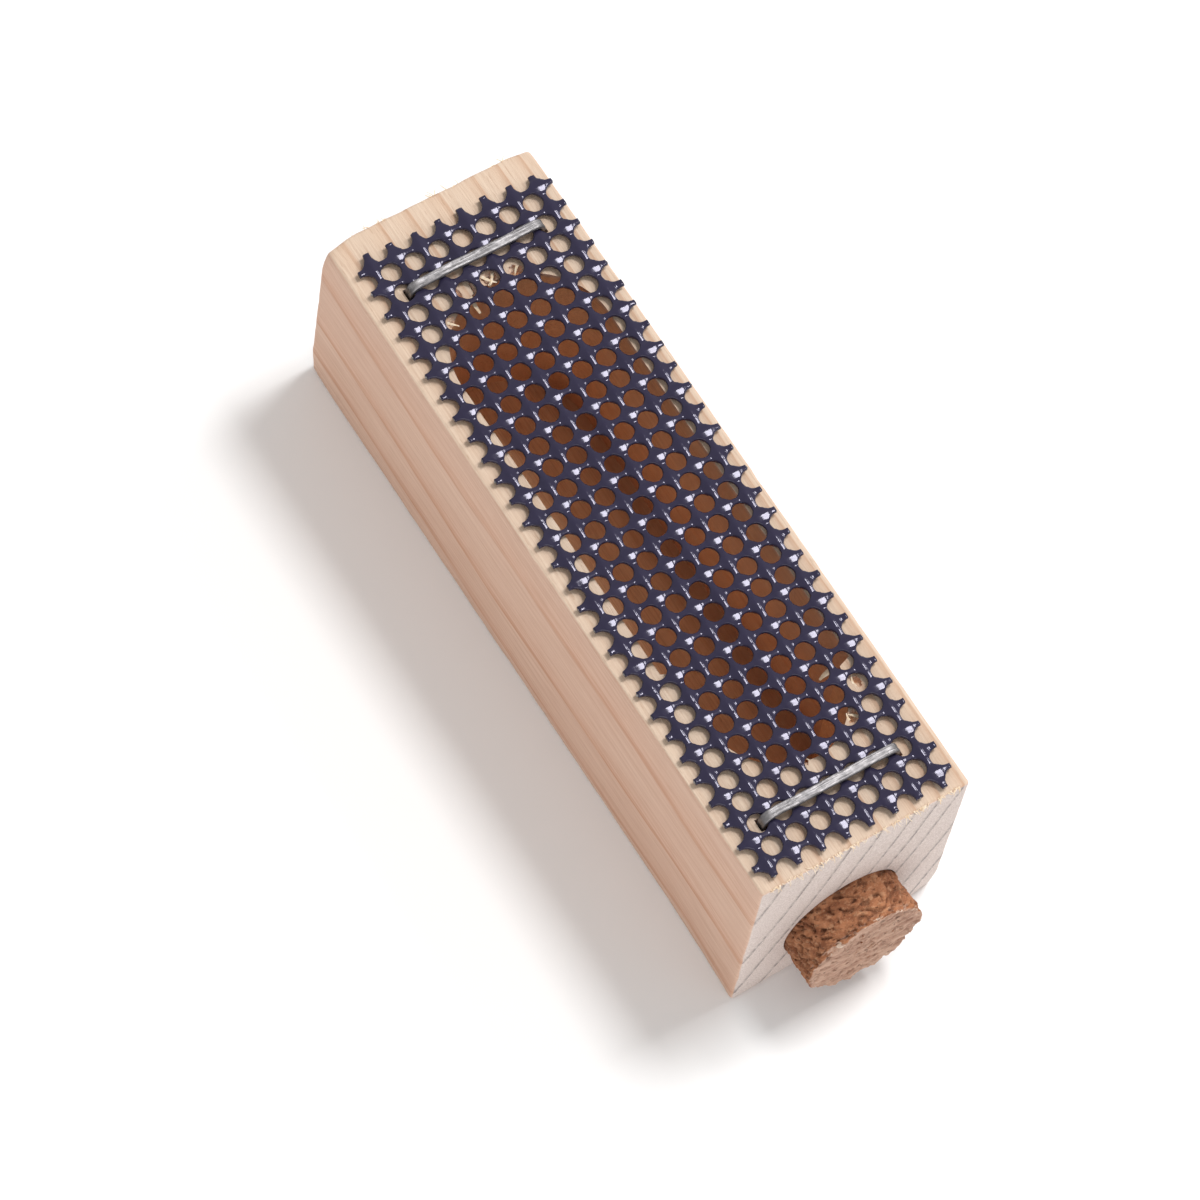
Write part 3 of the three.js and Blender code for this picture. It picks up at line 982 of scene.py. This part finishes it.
def cork_relief(spot, facing):
    """At a place in the plug, in millimetres: how far its surface stands, and how much its cracks, pits
    and sunken plates are darkened, partly the darker cork there and partly painted shade.
    """
    across, along, layer = Matrix.Rotation(LAYER_TILT, 3, "X") @ spot
    on_end = max(0, -facing.y)
    worn = 1 - 0.45 * on_end - 0.3 * rim_share(spot)
    broken = clamp((bark(across * 0.6, along * 0.6, layer * 0.8, 3) + 0.12) / 0.2)
    crack = clamp(1 - abs(bark(across * 0.35, along * 0.45, layer * 1.2)) / 0.11) * broken
    plate = clamp((bark(across * 0.7, along * 0.8, layer * 1.8, 7) + 0.06) / 0.12)
    pit = clamp((bark(across * 1.0, along * 1.3, layer * 2.4, 5) - 0.27) / 0.14)
    lumps = noise.noise(spot * 0.7)
    grit = noise.noise(spot * 2.4)
    depth = 0.16 * lumps + 0.10 * grit - (0.32 * crack + 0.15 * plate + 0.32 * pit) * worn
    free = 1 - clamp((spot.y - SQUEEZE_START) / SQUEEZE_RUN)
    # How dark the cracks, pits and sunken plates are: the darker cork in them, and painted shade.
    hollow = clamp(0.85 * crack * (1 - 0.25 * on_end) + (0.12 * plate + 0.9 * pit) * worn)
    return depth * free - 0.04 * (1 - free), hollow


def rim_share(spot):
    """1 on the outer rim and 0 further than the rim's band from it."""
    inwards = CORK_OUTER_RADIUS / MM - math.hypot(spot.x, spot.z)
    return max(0, 1 - inwards / RIM_BAND) * max(0, 1 - spot.y / RIM_BAND)


def build_cork():
    """The plug's outline spun round its axis, then every point moved as the bark is rough."""
    length = cork_high.y - cork_low.y
    outer, inner = CORK_OUTER_RADIUS, CORK_INNER_RADIUS
    profile = [
        Vector((0, 0)),
        Vector((outer - CORK_ROUND, 0)),
        Vector((outer - CORK_ROUND_CUT, CORK_ROUND_CUT)),
        Vector((outer, CORK_ROUND)),
        Vector((inner, length - CORK_ROUND)),
        Vector((inner - CORK_ROUND_CUT, length - CORK_ROUND_CUT)),
        Vector((inner - CORK_ROUND, length)),
        Vector((0, length)),
    ]
    bm = bmesh.new()
    ring = []
    for start, stop in zip(profile, profile[1:]):
        parts = max(1, round((stop - start).length / CORK_STEP))
        ring += [start.lerp(stop, i / parts) for i in range(parts)]
    ring.append(profile[-1])
    points = [bm.verts.new((r, y, 0)) for r, y in ring]
    line = [bm.edges.new(pair) for pair in zip(points, points[1:])]
    bmesh.ops.spin(
        bm, geom=points + line, cent=(0, 0, 0), axis=(0, 1, 0), angle=2 * math.pi, steps=CORK_SIDES,
        use_merge=True,
    )
    bmesh.ops.remove_doubles(bm, verts=bm.verts[:], dist=0.001 * MM)
    bmesh.ops.recalc_face_normals(bm, faces=bm.faces[:])
    bm.normal_update()
    hollow = bm.verts.layers.float.new("hollow")
    moves = []
    for vertex in bm.verts:
        spot = vertex.co / MM
        depth, vertex[hollow] = cork_relief(spot, vertex.normal)
        chip = clamp((noise.noise(spot * 0.5 + Vector((9, 9, 9))) + 0.02) / 0.3)
        inward = Vector((-spot.x, 0, -spot.z)) / max(math.hypot(spot.x, spot.z), 1e-6) * 0.5
        inward += Vector((0, 0.6, 0))
        moves.append((vertex.normal * depth + inward * chip * rim_share(spot) * 0.8) * MM)
    for vertex, move in zip(bm.verts, moves):
        vertex.co += move
    bmesh.ops.translate(bm, vec=(entrance.x, cork_low.y, entrance.z), verts=bm.verts[:])
    return to_mesh("cork", bm)


def cork_material():
    material, shader, place = new_material("cork", IOR=1.4)
    lay = place.node("ShaderNodeMapping", {}, {"Vector": place, "Rotation": (LAYER_TILT, 0, 0)})
    layer = lay.stretched((0.3, 0.4, 1.3)).grain(1.0, 4.0, 0.65)
    mottle = lay.stretched((0.9, 1.1, 2.4)).grain(1.0, 3.0, 0.6)
    specks = lay.stretched((1.4, 1.6, 3.8)).grain(1.0, 2.0, 0.6).rise(0.62, 0.7)
    fine = place.stretched((4.5, 4.5, 7.0)).grain(1.0, 3.0, 0.7)
    flakes = place.stretched((0.45, 0.9, 0.9)).grain(1.0, 3.0, 0.6).rise(0.58, 0.66)
    hollow = place.node("ShaderNodeAttribute", {"attribute_name": "hollow"}, {}, output="Fac")

    x, y, z = place.axes()
    half_length = (cork_high.y - cork_low.y) / 2 / MM
    from_middle = abs(y - (cork_low.y + cork_high.y) / 2 / MM)
    from_axis = ((x - entrance.x / MM) ** 2 + (z - entrance.z / MM) ** 2) ** 0.5
    rim = from_middle.rise(half_length - 0.9, half_length - 0.3) * from_axis.rise(6.3, 7.0)
    normal = place.node("ShaderNodeNewGeometry", {}, {}, output="Normal")
    end = abs(normal.axes()[1]).rise(0.4, 0.85) * from_middle.rise(half_length - 1.0, half_length - 0.5)

    side_tone = layer.rise(0.35, 0.62).mix((0.24, 0.084, 0.036, 1), (0.45, 0.19, 0.09, 1))
    side_tone = (mottle.rise(0.52, 0.68) * 0.5).mix(side_tone, (0.62, 0.35, 0.20, 1))
    end_tone = layer.rise(0.3, 0.66).mix((0.42, 0.235, 0.165, 1), (0.63, 0.405, 0.30, 1))
    end_tone = (mottle.rise(0.52, 0.72) * 0.5).mix(end_tone, (0.66, 0.46, 0.35, 1))
    tone = end.mix(side_tone, end_tone)
    tone = (rim * flakes * 0.75).mix(tone, (0.84, 0.69, 0.56, 1))
    tone = (specks * 0.65).mix(tone, (0.12, 0.045, 0.022, 1))
    # Darker in the cracks, pits and sunken plates: the darker cork in them, and painted shade.
    tone = (hollow * 0.62).mix(tone, (0.12, 0.045, 0.022, 1))
    tone = (fine.rise(0.56, 0.70) * 0.34).mix(tone, (0.74, 0.46, 0.29, 1))
    feed(shader, "Base Color", tone)
    feed(shader, "Roughness", 0.75 + mottle * 0.2)
    feed_bump(shader, fine + mottle - specks, 0.14)
    return material


cork = new_object("natural_cork", build_cork())
cork.data.materials.append(cork_material())
shade(cork, 60)
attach(cork, "cork")
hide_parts("cork_plug")
